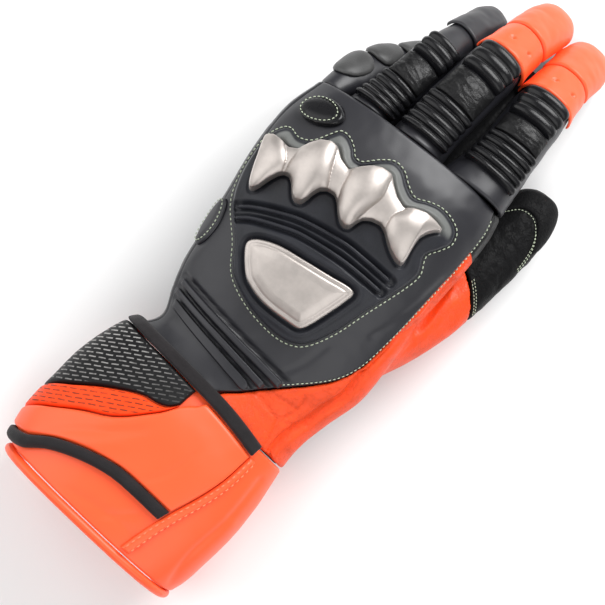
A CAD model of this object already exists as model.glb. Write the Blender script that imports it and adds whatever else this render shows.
import bpy
import numpy as np
from mathutils import Matrix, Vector
from mathutils.kdtree import KDTree


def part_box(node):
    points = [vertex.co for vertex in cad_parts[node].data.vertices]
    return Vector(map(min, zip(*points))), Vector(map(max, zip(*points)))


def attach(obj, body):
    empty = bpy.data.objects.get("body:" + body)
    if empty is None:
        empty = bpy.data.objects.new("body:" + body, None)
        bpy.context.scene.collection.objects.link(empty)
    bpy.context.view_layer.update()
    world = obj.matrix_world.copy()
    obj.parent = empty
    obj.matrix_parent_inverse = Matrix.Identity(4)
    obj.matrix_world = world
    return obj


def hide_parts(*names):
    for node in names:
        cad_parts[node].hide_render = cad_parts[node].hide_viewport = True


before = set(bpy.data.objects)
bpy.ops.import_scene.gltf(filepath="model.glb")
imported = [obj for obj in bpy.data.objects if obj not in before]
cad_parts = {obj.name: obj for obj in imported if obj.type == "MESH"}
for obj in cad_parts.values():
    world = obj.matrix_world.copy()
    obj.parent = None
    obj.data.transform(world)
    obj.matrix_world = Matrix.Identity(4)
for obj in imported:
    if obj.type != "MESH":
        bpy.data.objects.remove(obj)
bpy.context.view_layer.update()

bl_info = {
    "name": "Motorcycle gauntlet",
    "version": (1, 0, 0),
    "blender": (4, 5, 0),
    "location": "3D View > Sidebar > Gauntlet",
    "description": "Builds a leather motorcycle gauntlet with metal knuckle armour over its CAD frame",
    "category": "Object",
}

# The same driving sizes as the CAD source
BODY_LENGTH = 230
CUFF = (109, 66)
WRIST = (92, 48)
HAND = (122, 48)
KNUCKLE_LIFT = 53
BODY_SQUARENESS = 2.5
KNUCKLE_SLANT = 22
FINGER_LENGTH = 117
FINGER_WIDTH = 27
FINGER_SQUARENESS = 2.3
THUMB_LENGTH = 135
THUMB_WIDTH = 40
HAND_WALL = 2.4
DIGIT_WALL = 2
CUFF_WALL = 2.6
FLAP_THICKNESS = 2.2
TRIM_THICKNESS = 2.8
TRIM_WIDTH = 6
HEM_RADIUS = 2.3
SEAM_GAP = 0.4
LAY_GAP = 0.6
FLAP_GAP = 0.9
BASE_THICKNESS = 2.6
HEM_Y = -144
# Where the cuff ends, as a share of the body's length.
CUFF_END = 0.352
# The way to the edge that is given to points with no edge near them.
FAR_FROM_EDGE = 9.0

# Sections of the body: zone, along, side, lift, width, rise, drop, yaw, arch.
BODY_SECTIONS = [
    (CUFF, 0.0, 0.004, 0.645, 0.917, 0.5, 0.53, 2, 0),
    (CUFF, 0.087, -0.008, 0.642, 0.989, 0.5, 0.515, 1.5, 0),
    (CUFF, 0.178, -0.009, 0.63, 1.007, 0.477, 0.49, 1, 0),
    (CUFF, 0.265, -0.015, 0.623, 0.985, 0.447, 0.46, 0.5, 0),
    (CUFF, CUFF_END, -0.013, 0.604, 0.905, 0.394, 0.41, 1, 0),
    (WRIST, 0.413, 0.01, 0.604, 0.978, 0.5, 0.51, 2, 0),
    (WRIST, 0.474, -0.003, 0.642, 1.054, 0.5, 0.5, 4, 0.02),
    (HAND, 0.552, -0.013, 0.717, 0.876, 0.51, 0.5, 7, 0.04),
    (HAND, 0.648, -0.044, 0.821, 0.886, 0.521, 0.49, 10, 0.06),
    (HAND, 0.743, -0.073, 0.915, 0.908, 0.531, 0.469, 12, 0.08),
    (HAND, 0.839, -0.099, 0.991, 0.936, 0.521, 0.448, 13, 0.1),
    (HAND, 0.926, -0.12, 1.009, 0.936, 0.479, 0.427, 12, 0.125),
    (HAND, 1.0, -0.124, 0.981, 0.876, 0.427, 0.396, 7, 0.146),
]

# Sections of a finger: along, width, height, knuckle, tip, turn, curl.
FINGER_SECTIONS = [
    (0.0, 1.06, 1.2, 0, 0, 0, 0),
    (0.1, 1.06, 1.06, 0, 0, 0.5, 0),
    (0.22, 1.06, 0.98, 0.1, 0, 0.9, 0),
    (0.34, 1.03, 0.95, 0.35, 0, 1, 0),
    (0.45, 1.02, 0.96, 0.9, 0.05, 1, 0.1),
    (0.56, 0.9, 0.88, 1, 0.3, 1, 0.4),
    (0.68, 0.84, 0.84, 1, 0.8, 1, 0.8),
    (0.8, 0.85, 0.82, 1, 1, 1, 1),
    (0.885, 0.8, 0.77, 1, 1, 1, 1),
    (0.945, 0.68, 0.62, 1, 1, 1, 1),
    (0.982, 0.44, 0.38, 1, 1, 1, 1),
    (1.0, 0.06, 0.06, 1, 1, 1, 1),
]

# Fingers: left, right, length, width, lower, slope, knuckle, tip, root, aim, end.
FINGERS = {
    "index": (0.32, 1, 0.985, 1.01, 0, 7, 20, 16, -2, 7.5, 1.5),
    "middle": (-0.23, 0.31, 1.05, 0.96, 0, 7, 20, 16, 5, 0.5, -4),
    "ring": (-0.7, -0.24, 0.885, 0.76, 0.05, 12, 17, 14, -4, -1.5, -8),
    "little": (-1, -0.71, 0.62, 0.72, 0.12, 30, 8, 2, -4, -17, -28),
}

# Sections of the thumb: along, width, height, heading, pitch.
THUMB_SECTIONS = [
    (0.0, 0.86, 0.6, -14, 15),
    (0.19, 1.0, 0.7, -14, 14),
    (0.38, 0.98, 0.7, -13, 11),
    (0.5, 0.87, 0.68, -12, 9),
    (0.6, 0.78, 0.66, -7, 9),
    (0.74, 0.72, 0.62, 0, 10),
    (0.85, 0.68, 0.6, 7, 11),
    (0.925, 0.62, 0.54, 14, 10),
    (0.968, 0.5, 0.42, 17, 10),
    (0.99, 0.25, 0.23, 14, 10),
    (1.0, 0.04, 0.04, 14, 10),
]
THUMB_ROOT = (0.6, 0.23, 0.66)


def as_arrays(*values):
    """The values as float arrays of one shape."""
    return np.broadcast_arrays(*(np.asarray(value, float) for value in values))


def smooth_rows(table, x):
    """Every column of a table at x, on a smooth curve through its rows. Its first column is its own x."""
    table = np.asarray(table, float)
    x = np.clip(np.asarray(x, float), table[0, 0], table[-1, 0])
    last = len(table) - 1
    i = np.clip(np.searchsorted(table[:, 0], x, side="left") - 1, 0, last - 1)
    a, b = table[i], table[i + 1]
    before, after = table[np.maximum(i - 1, 0)], table[np.minimum(i + 2, last)]
    span = (b[..., 0] - a[..., 0])[..., None]
    t = (x - a[..., 0])[..., None] / span
    straight = (b - a) / span
    slope_a = np.where((i > 0)[..., None], (b - before) / (b[..., :1] - before[..., :1]), straight)
    slope_b = np.where((i < last - 1)[..., None], (after - a) / (after[..., :1] - a[..., :1]), straight)
    return (
        (2 * t**3 - 3 * t**2 + 1) * a
        + (t**3 - 2 * t**2 + t) * span * slope_a
        + (3 * t**2 - 2 * t**3) * b
        + (t**3 - t**2) * span * slope_b
    )


def curve(rows):
    """A smooth curve through (x, y) rows, as a function of x."""
    return lambda x: smooth_rows(rows, x)[..., 1]


class Form:
    """A tube-shaped form: cross sections (v, x, y, z, half, rise, drop, yaw, pitch, arch) along a limb."""

    def __init__(self, rows, squareness):
        self.rows = np.asarray(rows, float)
        self.squareness = squareness
        self.length = self.rows[-1, 0]

    def section(self, v):
        return smooth_rows(self.rows, np.clip(v, 0, self.length))

    def point(self, angle, v, grow=0.0):
        """The point at an angle round the section, grown outwards: 0 is the back and 90 the thumb's side."""
        angle, v, grow = as_arrays(angle, v, grow)
        s = self.section(v)
        half, rise, drop = s[..., 4], s[..., 5], s[..., 6]
        yaw, pitch = np.radians(s[..., 7]), np.radians(s[..., 8])
        power = 2 / self.squareness
        sine, cosine = np.sin(np.radians(angle)), np.cos(np.radians(angle))
        out = np.sign(sine) * np.abs(sine) ** power * (half + grow)
        up = np.sign(cosine) * np.abs(cosine) ** power * (np.where(cosine > 0, rise, drop) + grow)
        share = np.minimum(np.abs(out) / half, 1.2)
        across = np.stack([np.cos(yaw), np.sin(yaw), np.zeros_like(yaw)], -1)
        above = np.stack([-np.sin(pitch) * np.sin(yaw), np.sin(pitch) * np.cos(yaw), np.cos(pitch)], -1)
        middle = s[..., 1:4] - np.stack([0 * out, 0 * out, s[..., 9] * share**2], -1)
        return middle + across * out[..., None] + above * up[..., None]


body = Form(
    [
        (
            along * BODY_LENGTH,
            side * HAND[0],
            HEM_Y + along * BODY_LENGTH,
            lift * KNUCKLE_LIFT,
            width * zone[0] / 2,
            rise * zone[1],
            drop * zone[1],
            yaw,
            0,
            arch * HAND[1],
        )
        for zone, along, side, lift, width, rise, drop, yaw, arch in BODY_SECTIONS
    ],
    BODY_SQUARENESS,
)


def on_back(x, y, grow):
    """Lays points of the plan on the back of the body, raised by grow."""
    x, y, grow = as_arrays(x, y, grow)
    low, high = np.zeros(x.shape), np.full(x.shape, float(body.length))
    for _ in range(24):
        middle = (low + high) / 2
        s = body.section(middle)
        yaw = np.radians(s[..., 7])
        ahead = (y - s[..., 2]) * np.cos(yaw) - (x - s[..., 1]) * np.sin(yaw)
        low, high = np.where(ahead > 0, middle, low), np.where(ahead > 0, high, middle)
    s = body.section(low)
    yaw = np.radians(s[..., 7])
    out = (x - s[..., 1]) * np.cos(yaw) + (y - s[..., 2]) * np.sin(yaw)
    side = np.minimum(np.abs(out) / (s[..., 4] + grow), 0.985)
    share = np.minimum(np.abs(out) / s[..., 4], 1.2)
    up = (s[..., 5] + grow) * (1 - side**BODY_SQUARENESS) ** (1 / BODY_SQUARENESS)
    return np.stack([x, y, s[..., 3] - s[..., 9] * share**2 + up], -1)


def digit_form(root, length, width, rows, root_fit=None):
    """Walks a digit's centre line from its root, turning by each row's heading and pitch."""
    steps = 60
    stops = smooth_rows(rows, np.arange(steps + 1) / steps)
    heading, pitch = np.radians(stops[:, 3]), np.radians(stops[:, 4])
    ahead = np.stack(
        [-np.sin(heading) * np.cos(pitch), np.cos(heading) * np.cos(pitch), -np.sin(pitch)], -1
    )
    at = np.asarray(root, float) + np.vstack([np.zeros(3), np.cumsum(ahead[:-1], 0)]) * length / steps
    walked = np.column_stack([np.arange(steps + 1) / steps, at])
    sections = []
    for k, row in enumerate(rows):
        along, wide, high, turn, dip = row
        x, y, z = smooth_rows(walked, along)[1:]
        half, rise, yaw = wide * width / 2, high * width / 2, turn
        if root_fit and k == 0:
            half, rise, yaw = root_fit
        if root_fit and k == 1:
            half = (root_fit[0] + width / 2) / 2
        sections.append((along * length, x, y, z, half, rise, rise, yaw, dip, 0))
    return Form(sections, FINGER_SQUARENESS)


def finger_form(left, right, length, width, lower, slope, knuckle, tip, root, aim, end):
    front = body.section(body.length)
    middle = (left + right) / 2
    height = (1 - min(abs(middle), 1) ** BODY_SQUARENESS) ** (1 / BODY_SQUARENESS)
    rest = front[3] - front[9] * middle * middle
    low, high = rest - front[6] * height, rest + front[5] * height
    yaw = np.radians(front[7])
    out = middle * front[4]
    centre = (
        front[1] + out * np.cos(yaw) - SEAM_GAP * np.sin(yaw),
        front[2] + out * np.sin(yaw) + SEAM_GAP * np.cos(yaw),
        (low + high) / 2 - lower * HAND[1],
    )
    rows = [
        (
            along,
            wide,
            tall,
            root + (aim - root) * turn + (end - aim) * curl,
            slope * min(along * 8, 1) + knuckle * bend + tip * dip,
        )
        for along, wide, tall, bend, dip, turn, curl in FINGER_SECTIONS
    ]
    fit = (((right - left) * front[4] - SEAM_GAP) / 2, (high - low) / 2, front[7])
    return digit_form(centre, length * FINGER_LENGTH, width * FINGER_WIDTH, rows, fit)


digits = {name: finger_form(*finger) for name, finger in FINGERS.items()}
thumb_start = body.section(THUMB_ROOT[0] * BODY_LENGTH)
digits["thumb"] = digit_form(
    (THUMB_ROOT[1] * HAND[0], thumb_start[2], THUMB_ROOT[2] * KNUCKLE_LIFT),
    THUMB_LENGTH,
    THUMB_WIDTH,
    THUMB_SECTIONS,
)

# The tables' own zero is moved to the frame's by matching the cuff's lowest corner.
shell_stops = np.linspace(2 * HEM_RADIUS + SEAM_GAP, CUFF_END * BODY_LENGTH, 7)
shell_corner = body.point(*np.meshgrid(np.arange(32) * 360 / 32, shell_stops)).reshape(-1, 3).min(0)
SHIFT = np.array(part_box("cuff_shell")[0]) * 1000 - shell_corner


# Meshes
def noise(points, scale, seed=1):
    """Smooth noise from about -1 to 1 at points, with features about scale millimetres across."""
    points = np.asarray(points, float) / scale
    dice = np.random.default_rng(seed)
    order = dice.permutation(256)
    slopes = dice.normal(size=(256, 3))
    slopes /= np.linalg.norm(slopes, axis=1, keepdims=True)
    cell = np.floor(points).astype(int)
    inside = points - cell
    fade = inside**3 * (inside * (inside * 6 - 15) + 10)
    total = np.zeros(points.shape[:-1])
    for corner in np.ndindex(2, 2, 2):
        at = cell + corner
        key = order[(order[(order[at[..., 0] & 255] + at[..., 1]) & 255] + at[..., 2]) & 255]
        weight = np.prod(np.where(np.array(corner) == 1, fade, 1 - fade), -1)
        total += weight * (slopes[key] * (inside - corner)).sum(-1)
    return total * 1.6


def crinkle(points, scale, seed=1):
    """Sharp-edged wrinkles from 0 in the creases to 1 on the swells."""
    bent = points + 0.35 * scale * np.stack([noise(points, scale * 0.8, seed + k) for k in (5, 6, 7)], -1)
    return np.minimum(np.abs(noise(bent, scale, seed)) * 2.2, 1)


def smooth_step(low, high, x):
    t = np.clip((x - low) / (high - low), 0, 1)
    return t * t * (3 - 2 * t)


def stops(length, step, rim=1.3):
    """Shares from 0 to 1 along a length in millimetres, close together at both ends for rolled edges."""
    close = np.array([0, 0.08, 0.24, 0.5, 0.85, rim])
    close = close[close < length * 0.4]
    spans = max(int(round((length - 2 * close[-1]) / step)), 2)
    inner = np.linspace(close[-1], length - close[-1], spans + 1)
    return np.concatenate([close[:-1], inner, length - close[-2::-1]]) / length


def from_segments(points, line, closed=True):
    """The distance from each plan point to a line of plan points."""
    line = np.asarray(line, float)
    ends = np.roll(line, -1, 0) if closed else line[1:]
    starts = line if closed else line[:-1]
    best = np.full(points.shape[:-1], 1e9)
    for a, b in zip(starts, ends):
        way = b - a
        t = np.clip(((points - a) @ way) / max(way @ way, 1e-9), 0, 1)
        best = np.minimum(best, np.linalg.norm(points - a - t[..., None] * way, axis=-1))
    return best


def through(points, step=1.0, closed=False):
    """A smooth line through control points, with a point about every step millimetres."""
    points = np.asarray(points, float)
    if closed:
        points = np.vstack([points[-2:], points, points[:3]])
    chord = np.concatenate([[0], np.cumsum(np.linalg.norm(np.diff(points, axis=0), axis=1))])
    first, last = (chord[2], chord[-3]) if closed else (0, chord[-1])
    where = np.linspace(first, last, max(int((last - first) / step), 3) + 1)
    line = smooth_rows(np.column_stack([chord, points]), where)[:, 1:]
    return line[:-1] if closed else line


def sheet_faces(count_u, count_v):
    """Quads over a grid of points, by index."""
    k = np.arange(count_u * count_v).reshape(count_u, count_v)
    return np.stack([k[:-1, :-1], k[1:, :-1], k[1:, 1:], k[:-1, 1:]], -1).reshape(-1, 4)


class Shape:
    """Points with faces, and what the materials read: uv and the way to the edge, all in millimetres."""

    def __init__(self, points, faces, uv=None, edge=None):
        self.points = np.asarray(points, float).reshape(-1, 3)
        self.faces = [np.asarray(f, int) for f in faces if len(f)]
        count = len(self.points)
        self.uv = np.zeros((count, 2)) if uv is None else np.asarray(uv, float).reshape(-1, 2)
        self.edge = np.full(count, FAR_FROM_EDGE) if edge is None else np.asarray(edge, float).reshape(-1)

    def volume(self):
        total = 0.0
        for faces in self.faces:
            for k in range(1, faces.shape[1] - 1):
                a, b, c = (self.points[faces[:, n]] for n in (0, k, k + 1))
                total += np.einsum("ij,ij->", a, np.cross(b, c))
        return total

    @staticmethod
    def together(shapes):
        start, faces = 0, []
        for shape in shapes:
            faces += [f + start for f in shape.faces]
            start += len(shape.points)
        sizes = sorted({f.shape[1] for f in faces})
        faces = [np.vstack([f for f in faces if f.shape[1] == size]) for size in sizes]
        return Shape(
            np.vstack([s.points for s in shapes]),
            faces,
            np.vstack([s.uv for s in shapes]),
            np.concatenate([s.edge for s in shapes]),
        )


def rolled_edge(edge, reach):
    """How far a rolled rim has risen at a way from its edge: 0 at the edge, and 1 from reach on."""
    return np.sqrt(1 - (1 - np.minimum(edge / reach, 1)) ** 2)


def lay(place, u, v, bottom, thickness, crown=1.2, relief=None):
    """A closed sheet over a grid, whose rim lies at bottom and whose top rolls up by thickness."""
    u, v = np.broadcast_arrays(u, v)
    under = place(u, v, bottom)
    run_u = np.linalg.norm(np.diff(under, axis=0), axis=-1)
    run_v = np.linalg.norm(np.diff(under, axis=1), axis=-1)
    across = np.vstack([np.zeros((1, u.shape[1])), np.cumsum(run_u, 0)])
    along = np.hstack([np.zeros((u.shape[0], 1)), np.cumsum(run_v, 1)])
    edge = np.minimum(
        np.minimum(across, across[-1:] - across), np.minimum(along, along[:, -1:] - along)
    )
    lift = thickness * rolled_edge(edge, crown)
    if relief is not None:
        lift = lift + relief(under, across, along, edge) * np.minimum(edge / crown, 1)
    top = place(u, v, bottom + np.maximum(lift, 0))
    return closed_sheet(top, under, np.stack([across, along], -1), edge)


def closed_sheet(top, under, uv, edge):
    """Joins two grids of points that share their rim."""
    count_u, count_v = top.shape[:2]
    rim = np.zeros((count_u, count_v), bool)
    rim[[0, -1], :] = True
    rim[:, [0, -1]] = True
    upper = np.arange(count_u * count_v).reshape(count_u, count_v)
    lower = upper.copy()
    lower[~rim] = count_u * count_v + np.arange((~rim).sum())
    quads = sheet_faces(count_u, count_v)
    other = lower.reshape(-1)[quads][:, ::-1]
    points = np.vstack([top.reshape(-1, 3), under[~rim]])
    uvs = np.vstack([uv.reshape(-1, 2), uv[~rim]])
    edges = np.concatenate([edge.reshape(-1), edge[~rim]])
    return Shape(points, [np.vstack([quads, other])], uvs, edges)


def disc(place, outline, centre, bottom, thickness, crown=1.2, relief=None, step=0.8, squash=(1.0, 1.0)):
    """A closed sheet within an outline that its centre sees all of, from rings that shrink to the centre."""
    outline = through(outline, step, closed=True)
    centre = np.asarray(centre, float)
    size = np.linalg.norm((outline - centre) * squash, axis=1).mean()
    shares = 1 - stops(2 * size, step)[:-1]
    shares = shares[shares > 0.5] * 2 - 1
    ring = centre + (outline - centre) * shares[:, None, None]
    plan = ring.reshape(-1, 2)
    flat = np.vstack([plan, centre])
    edge = from_segments(flat * squash, outline * squash)
    edge[: len(outline)] = 0
    lift = thickness * rolled_edge(edge, crown)
    under = place(flat[:, 0], flat[:, 1], bottom)
    if relief is not None:
        lift = lift + relief(under, flat[:, 0], flat[:, 1], edge) * np.minimum(edge / crown, 1)
    top = place(flat[:, 0], flat[:, 1], bottom + np.maximum(lift, 0))
    around, rings = len(outline), len(shares)
    k = np.arange(around * rings).reshape(rings, around)
    after = np.roll(k, -1, 1)
    quads = np.stack([k[:-1], after[:-1], after[1:], k[1:]], -1).reshape(-1, 4)
    tip = around * rings
    fan = np.stack([k[-1], after[-1], np.full(around, tip)], -1)
    lower = np.concatenate([np.arange(around), np.arange(around, tip + 1) + tip + 1 - around])
    return Shape(
        np.vstack([top, under[around:]]),
        [np.vstack([fan, lower[fan][:, ::-1]]), np.vstack([quads, lower[quads][:, ::-1]])],
        np.vstack([flat, flat[around:]]),
        np.concatenate([edge, edge[around:]]),
    )


def tube(rings, hollow=False, uv=None, edge=None):
    """A closed shape from rings of points. Its ends are joined to each other when hollow, or else fanned."""
    rings = np.asarray(rings, float)
    count, around = rings.shape[:2]
    k = np.arange(count * around).reshape(count, around)
    if hollow:
        k = np.vstack([k, k[:1]])
    after = np.roll(k, -1, 1)
    faces = [np.stack([k[:-1], k[1:], after[1:], after[:-1]], -1).reshape(-1, 4)]
    points = rings.reshape(-1, 3)
    if not hollow:
        points = np.vstack([points, rings[0].mean(0), rings[-1].mean(0)])
        tips = count * around + np.arange(2)
        faces.append(
            np.vstack(
                [
                    np.stack([k[0], after[0], np.full(around, tips[0])], -1),
                    np.stack([after[-1], k[-1], np.full(around, tips[1])], -1),
                ]
            )
        )
    extra = len(points) - count * around
    if uv is not None:
        uv = np.vstack([np.asarray(uv).reshape(-1, 2), np.zeros((extra, 2))])
    if edge is not None:
        edge = np.concatenate([np.asarray(edge).reshape(-1), np.full(extra, FAR_FROM_EDGE)])
    return Shape(points, faces, uv, edge)


def on_surface(place, plan, lift):
    """Points and outward directions of a line drawn on a surface."""
    u, v = plan[:, 0], plan[:, 1]
    points = place(u, v, lift)
    out = place(u, v, np.asarray(lift) + 1.0) - points
    return points, out / np.linalg.norm(out, axis=1, keepdims=True)


def stitches(points, out, length=2.1, gap=1.0, radius=0.32):
    """Thread stitches along a line on a surface, each a short bent bead whose ends go into the leather."""
    steps = np.linalg.norm(np.diff(points, axis=0), axis=1)
    run = np.concatenate([[0], np.cumsum(steps)])
    count = int(run[-1] / (length + gap))
    middles = (np.arange(count) + 0.5) * run[-1] / max(count, 1)

    def along(values, places):
        return np.stack([np.interp(places, run, values[:, k]) for k in range(3)], -1)

    at, up = along(points, middles), along(out, middles)
    ahead = along(points, middles + 0.5) - along(points, middles - 0.5)
    ahead /= np.linalg.norm(ahead, axis=1, keepdims=True)
    up -= ahead * (up * ahead).sum(1, keepdims=True)
    up /= np.linalg.norm(up, axis=1, keepdims=True)
    side = np.cross(up, ahead)
    shares = np.array([-1.0, -0.8, -0.35, 0.35, 0.8, 1.0])
    sizes = np.array([0.35, 0.85, 1.0, 1.0, 0.85, 0.35]) * radius
    turn = np.arange(6) * np.pi / 3
    shapes = []
    for k in range(count):
        bow = up[k] * radius * (0.35 - 0.9 * shares[:, None] ** 4)
        middle = at[k] + ahead[k] * shares[:, None] * length / 2 + bow
        rings = (
            middle[:, None]
            + side[k] * (np.cos(turn)[None, :, None] * sizes[:, None, None])
            + up[k] * (np.sin(turn)[None, :, None] * sizes[:, None, None])
        )
        shapes.append(tube(rings))
    return Shape.together(shapes)


def make_piece(name, shape, material, nodes=()):
    """Makes the shape an object that rides on the glove, with its faces pointing out."""
    faces = [f[:, ::-1] for f in shape.faces] if shape.volume() < 0 else shape.faces
    corners = np.concatenate([f.reshape(-1) for f in faces])
    sizes = np.concatenate([np.full(len(f), f.shape[1]) for f in faces])
    mesh = bpy.data.meshes.new(name)
    mesh.vertices.add(len(shape.points))
    mesh.vertices.foreach_set("co", ((shape.points + SHIFT) / 1000).reshape(-1))
    mesh.loops.add(len(corners))
    mesh.loops.foreach_set("vertex_index", corners.astype(np.int32))
    mesh.polygons.add(len(sizes))
    mesh.polygons.foreach_set("loop_start", np.concatenate([[0], np.cumsum(sizes)[:-1]]).astype(np.int32))
    mesh.update(calc_edges=True)
    if mesh.validate():
        print(name, "had faces that were mended")
    mesh.polygons.foreach_set("use_smooth", np.ones(len(mesh.polygons), bool))
    index = np.zeros(len(mesh.loops), np.int32)
    mesh.loops.foreach_get("vertex_index", index)
    layer = mesh.uv_layers.new(name="millimetres")
    layer.data.foreach_set("uv", shape.uv[index].reshape(-1))
    mesh.attributes.new("edge", "FLOAT", "POINT").data.foreach_set("value", shape.edge)
    piece = bpy.data.objects.new(name, mesh)
    bpy.context.collection.objects.link(piece)
    mesh.materials.append(material)
    settle(piece, nodes)
    return piece


def settle(piece, nodes=()):
    """Says what the piece is to the frame: what it rides on, replaces and is made of."""
    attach(piece, "root")
    if nodes:
        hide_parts(*nodes)


# Materials
class Value:
    """A shader socket that Python can add, subtract, multiply and divide."""

    def __init__(self, shader, socket):
        self.shader = shader
        self.socket = socket

    def maths(self, operation, *others, first=None):
        values = [self if first is None else first, *others]
        return self.shader.node("ShaderNodeMath", {"operation": operation}, dict(enumerate(values)))

    def __add__(self, other):
        return self.maths("ADD", other)

    def __radd__(self, other):
        return self.maths("ADD", self, first=other)

    def __sub__(self, other):
        return self.maths("SUBTRACT", other)

    def __rsub__(self, other):
        return self.maths("SUBTRACT", self, first=other)

    def __mul__(self, other):
        return self.maths("MULTIPLY", other)

    def __truediv__(self, other):
        return self.maths("DIVIDE", other)

    def size(self):
        return self.maths("ABSOLUTE")

    def part(self):
        return self.maths("FRACT")

    def whole(self):
        return self.maths("FLOOR")

    def ramp(self, low, high):
        """0 below low, 1 above high, smooth between."""
        settings = {"interpolation_type": "SMOOTHSTEP"}
        inputs = {"Value": self, "From Min": low, "From Max": high}
        return self.shader.node("ShaderNodeMapRange", settings, inputs)


class Shader:
    """A material whose nodes are made from Python expressions."""

    def __init__(self, name):
        self.material = bpy.data.materials.new(name)
        self.material.use_nodes = True
        self.tree = self.material.node_tree
        self.surface = self.tree.nodes["Principled BSDF"]

    def node(self, kind, settings=None, inputs=None, output=0):
        made = self.tree.nodes.new(kind)
        for name, value in (settings or {}).items():
            setattr(made, name, value)
        for name, value in (inputs or {}).items():
            self.feed(made.inputs[name], value)
        return Value(self, made.outputs[output])

    def feed(self, socket, value):
        if isinstance(value, Value):
            self.tree.links.new(value.socket, socket)
        else:
            socket.default_value = value

    def millimetres(self):
        """The place on the glove, in millimetres."""
        place = self.node("ShaderNodeTexCoord", output="Object")
        return self.node("ShaderNodeVectorMath", {"operation": "SCALE"}, {0: place, "Scale": 1000.0})

    def laid_out(self):
        """The place on the piece's own flat pattern, in millimetres, as x and y."""
        layer = self.node("ShaderNodeUVMap", {"uv_map": "millimetres"})
        return self.split(layer)[:2]

    def split(self, vector):
        return [self.node("ShaderNodeSeparateXYZ", None, {0: vector}, output=k) for k in range(3)]

    def turned(self, place, degrees):
        """The place's x, y and z on axes turned by degrees about Z."""
        inputs = {"Vector": place, "Rotation": (0.0, 0.0, -np.radians(degrees))}
        return self.split(self.node("ShaderNodeMapping", None, inputs))

    def edge(self):
        """The way to the piece's edge, in millimetres."""
        return self.node("ShaderNodeAttribute", {"attribute_name": "edge"}, output="Fac")

    def noise(self, place, size, detail=3.0, roughness=0.55):
        inputs = {"Vector": place, "Scale": 1 / size, "Detail": detail, "Roughness": roughness}
        return self.node("ShaderNodeTexNoise", None, inputs)

    def cells(self, place, size, smooth):
        """Rounded cells, about size millimetres across."""
        inputs = {"Vector": place, "Scale": 1 / size, "Smoothness": smooth}
        return self.node("ShaderNodeTexVoronoi", {"feature": "SMOOTH_F1"}, inputs)

    def mix(self, share, first, second):
        settings = {"data_type": "RGBA"}
        return self.node("ShaderNodeMix", settings, {"Factor": share, 6: first, 7: second}, output=2)

    def finish(self, colour, roughness, height=None, depth=0.2, **fixed):
        """Feeds the surface. height is a value from 0 to 1 that stands depth millimetres proud at most."""
        self.feed(self.surface.inputs["Base Color"], colour)
        self.feed(self.surface.inputs["Roughness"], roughness)
        if height is not None:
            inputs = {"Height": height, "Distance": depth / 1000, "Strength": 1.0}
            bump = self.node("ShaderNodeBump", None, inputs)
            self.feed(self.surface.inputs["Normal"], bump)
        for name, value in fixed.items():
            self.feed(self.surface.inputs[name.replace("_", " ")], value)
        return self.material


def plain(colour):
    """A linear colour from a property, with full alpha."""
    return (colour[0], colour[1], colour[2], 1.0)


def shade(colour, share):
    return (colour[0] * share, colour[1] * share, colour[2] * share, 1.0)


# Where the thumb's side turns from orange to black, as half of x plus y in millimetres.
BLACK_FROM = (89.0 + SHIFT[1] + SHIFT[0] / 2, 89.6 + SHIFT[1] + SHIFT[0] / 2)


def leather(name, colour, roughness=0.5, grain=0.9, relief=0.16, worn=1.25, deep=0.6, shine=0.5, beyond=None):
    """Finished leather with pebbled grain and fine creases, darker in its veins and paler along rolled edges.

    beyond is another colour, for the part of the piece past the front of the thumb's crotch.
    """
    s = Shader(name)
    place = s.millimetres()
    pebbles = s.cells(place, grain, 0.7)
    creases = s.noise(place, 2.2, 6.0, 0.68)
    patches = s.noise(place, 17.0, 3.0)
    veins = (s.noise(place, 5.5, 5.0, 0.6) - 0.5).size().ramp(0.0, 0.035)
    rim = 1 - s.edge().ramp(0.2, 1.6)
    base = s.mix(patches.ramp(0.3, 0.7), shade(colour, 0.9), shade(colour, 1.06))
    base = s.mix((1 - veins) * 0.35, base, shade(colour, deep))
    base = s.mix((creases.ramp(0.35, 0.6) * -0.25) + 0.25, base, shade(colour, deep))
    base = s.mix(rim * 0.35, base, shade(colour, worn))
    if beyond is not None:
        x, y, _ = s.split(place)
        base = s.mix((x * 0.5 + y).ramp(*BLACK_FROM), base, plain(beyond))
    height = pebbles * 0.45 + creases * 0.8 + veins * 0.35
    rough = roughness + (creases - 0.5) * 0.3 + (1 - veins) * 0.08
    return s.finish(base, rough, height, relief, Specular_IOR_Level=shine)


# The printed dashes: the way from row to row, and from dash to dash along a row.
ROW_PITCH = 2.0
DASH_PITCH = 4.9


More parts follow.
